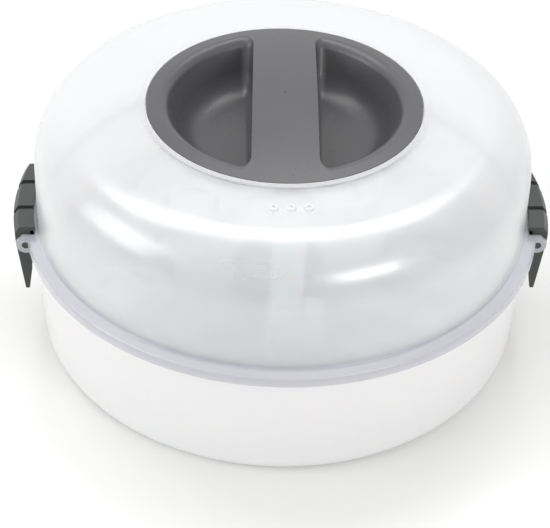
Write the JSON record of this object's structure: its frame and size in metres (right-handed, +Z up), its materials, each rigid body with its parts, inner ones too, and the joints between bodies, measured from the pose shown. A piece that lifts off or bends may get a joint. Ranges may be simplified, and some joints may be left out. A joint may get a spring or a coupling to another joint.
{
  "type": "microwave bottle sterilizer",
  "caption": "Round microwave steam sterilizer: white bowl, bottle rack, tongs, clear dome lid with a grey recessed grip plate and side clips.",
  "frame": {"origin": "centre of the bowl's underside, on the surface it stands on", "axes": "+Z up, +X towards the right-hand clip, -Y towards the steam vents at the front"},
  "size_m": [0.2844, 0.273, 0.1418],
  "materials": {
    "bowl": "gloss white polypropylene",
    "rack": "milky translucent polypropylene",
    "tongs": "milky translucent polypropylene",
    "dome": "clear polypropylene, slightly milky",
    "plate": "fine matt grey",
    "clip": "matt dark grey"
  },
  "bodies": {
    "bowl": {"base_bowl": "bowl"},
    "rack": {"bottle_rack": "rack", "rack_rim": "rack", "rack_hub": "rack", "rack_fork": "rack", "rack_collar_1": "rack", "rack_collar_2": "rack", "rack_collar_3": "rack", "rack_collar_4": "rack", "rack_collar_5": "rack", "rack_collar_6": "rack", "rack_finger_1": "rack", "rack_finger_2": "rack", "rack_finger_3": "rack", "rack_finger_4": "rack", "rack_finger_5": "rack", "rack_finger_6": "rack", "rack_leg_1": "rack", "rack_leg_2": "rack", "rack_leg_3": "rack", "rack_leg_4": "rack", "rack_leg_5": "rack", "rack_leg_6": "rack"},
    "tongs": {"tongs": "tongs"},
    "lid": {"lid_dome": "dome", "grip_plate": "plate"},
    "right_clip": {"clip_right": "clip"},
    "left_clip": {"clip_left": "clip"}
  },
  "joints": [
    {"name": "rack_lift", "type": "slide", "parent": "bowl", "child": "rack", "axis": [0, 0, 1], "range_m": [0, 0.1]},
    {"name": "tongs_lift", "type": "slide", "parent": "rack", "child": "tongs", "axis": [0, 0, 1], "range_m": [0, 0.1]},
    {"name": "lid_lift", "type": "slide", "parent": "tongs", "child": "lid", "axis": [0, 0, 1], "range_m": [0, 0.12]},
    {"name": "clip_right_hinge", "type": "hinge", "parent": "lid", "child": "right_clip", "pos_m": [0.134, 0, 0.0663], "axis": [0, -1, 0], "range_deg": [0, 6.5]},
    {"name": "clip_left_hinge", "type": "hinge", "parent": "lid", "child": "left_clip", "pos_m": [-0.134, 0, 0.0663], "axis": [0, 1, 0], "range_deg": [0, 6.5]}
  ]
}
